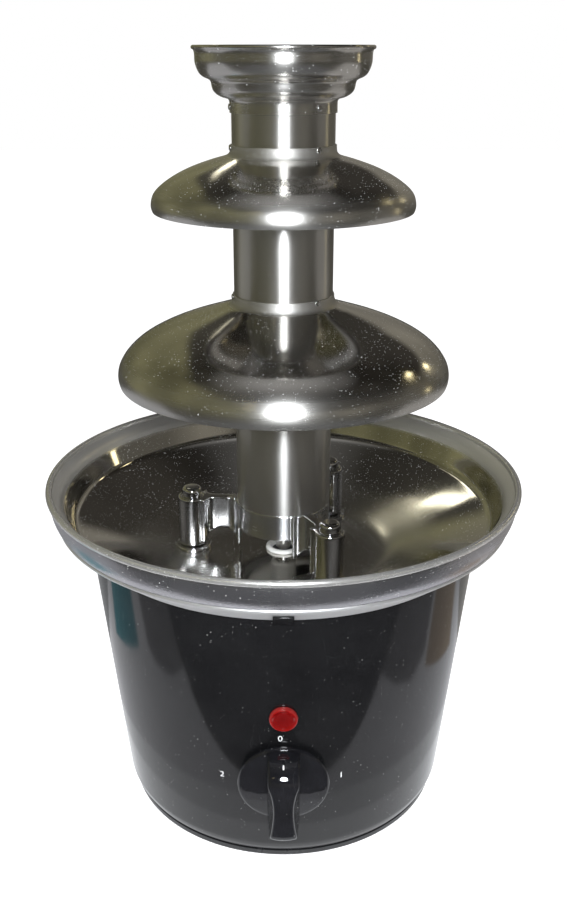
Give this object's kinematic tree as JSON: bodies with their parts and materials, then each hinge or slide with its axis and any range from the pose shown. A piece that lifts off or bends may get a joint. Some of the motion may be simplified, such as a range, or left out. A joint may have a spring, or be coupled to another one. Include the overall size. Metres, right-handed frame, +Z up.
{
  "type": "chocolate fountain",
  "caption": "Table-top chocolate fountain: heated steel basin on a black tapered housing, lift-off tower with stepped cup and domed tiers, screw auger, geared motor and control knob.",
  "frame": {"origin": "on the table under the centre of the base, at the level of the feet", "axes": "+Z up along the tower, front with the control knob towards -Y, +X to the right seen from the front"},
  "size_m": [0.252, 0.252, 0.4005],
  "materials": {
    "housing_black": "glossy moulded plastic with fine scuffs",
    "plate_black": "satin moulded plastic",
    "knob_black": "glossy moulded plastic",
    "rubber_black": "matt soft rubber",
    "zinc_steel": "zinc plated",
    "polished_steel": "spun and polished stainless steel",
    "brushed_steel": "satin brushed stainless steel",
    "shaft_steel": "ground steel",
    "chrome_plate": "bright chrome plating",
    "cast_alloy": "as cast",
    "copper_winding": "enamelled winding",
    "bronze": "sintered bronze",
    "white_nylon": "natural nylon",
    "auger_white": "satin food grade plastic",
    "aluminium_plate": "rolled plate",
    "heater_sheath": "heat tinted sheath",
    "phenolic_brown": "moulded phenolic",
    "ceramic_cream": "matt moulded",
    "lens_red": "translucent red",
    "bulb_glass": "clear glass",
    "ferrite": "sintered ferrite"
  },
  "bodies": {
    "base": {"housing": "housing_black", "base_plate": "plate_black", "rubber_feet": "rubber_black", "tie_rods": "zinc_steel", "tie_nuts": "zinc_steel", "trim_ring": "polished_steel", "basin_skirt": "polished_steel", "basin": "polished_steel", "locating_pins": "chrome_plate", "pin_nuts": "zinc_steel", "standoffs": "zinc_steel", "plate_screws": "zinc_steel", "motor_plate": "zinc_steel", "gear_case": "cast_alloy", "case_screws": "zinc_steel", "motor_can": "zinc_steel", "can_screws": "zinc_steel", "stator_coil": "copper_winding", "stator_claws": "zinc_steel", "rotor_axle": "zinc_steel", "idler_axle": "zinc_steel", "lower_bearing": "bronze", "upper_bearing": "bronze", "shaft_bushing": "white_nylon", "shaft_seal": "rubber_black", "bushing_nut": "zinc_steel", "heater_plate": "aluminium_plate", "heating_element": "heater_sheath", "element_clamps": "zinc_steel", "clamp_screws": "zinc_steel", "thermostat": "phenolic_brown", "thermal_fuse": "ceramic_cream", "switch_body": "phenolic_brown", "switch_nut": "zinc_steel", "lamp_lens": "lens_red", "lamp_clip": "zinc_steel", "lamp_holder": "ceramic_cream", "neon_bulb": "bulb_glass", "cord_grommet": "rubber_black", "terminal_block": "ceramic_cream"},
    "tower": {"tower_tube": "brushed_steel", "crown_cup": "polished_steel", "upper_tier": "polished_steel", "lower_tier": "polished_steel", "tower_foot": "chrome_plate", "collar_rivets": "chrome_plate"},
    "drive": {"drive_shaft": "shaft_steel", "output_gear": "white_nylon"},
    "auger": {"auger_core": "auger_white", "auger_flight": "auger_white"},
    "idler": {"idler_gear": "white_nylon"},
    "rotor": {"rotor_magnet": "ferrite", "rotor_pinion": "white_nylon"},
    "knob": {"control_knob": "knob_black", "switch_shaft": "zinc_steel"}
  },
  "joints": [
    {"name": "tower_lift", "type": "slide", "parent": "base", "child": "tower", "axis": [0, 0, 1], "range_m": [0, 0.25]},
    {"name": "drive_spin", "type": "hinge", "parent": "base", "child": "drive", "pos_m": [0, 0, 0.1], "axis": [0, 0, 1], "continuous": true},
    {"name": "auger_lift", "type": "slide", "parent": "drive", "child": "auger", "axis": [0, 0, 1], "range_m": [0, 0.26]},
    {"name": "idler_spin", "type": "hinge", "parent": "base", "child": "idler", "pos_m": [-0.01315, 0.02472, 0.095], "axis": [0, 0, 1], "continuous": true},
    {"name": "rotor_spin", "type": "hinge", "parent": "base", "child": "rotor", "pos_m": [-0.0357, 0.01651, 0.08], "axis": [0, 0, 1], "continuous": true},
    {"name": "knob_turn", "type": "hinge", "parent": "base", "child": "knob", "pos_m": [0, -0.09449, 0.058], "axis": [0, -0.9948, -0.1016], "range_deg": [-90, 90]}
  ],
  "couplings": [
    {"joint": "idler_spin", "follows": "drive_spin", "ratio": -2.5},
    {"joint": "rotor_spin", "follows": "drive_spin", "ratio": 5}
  ]
}
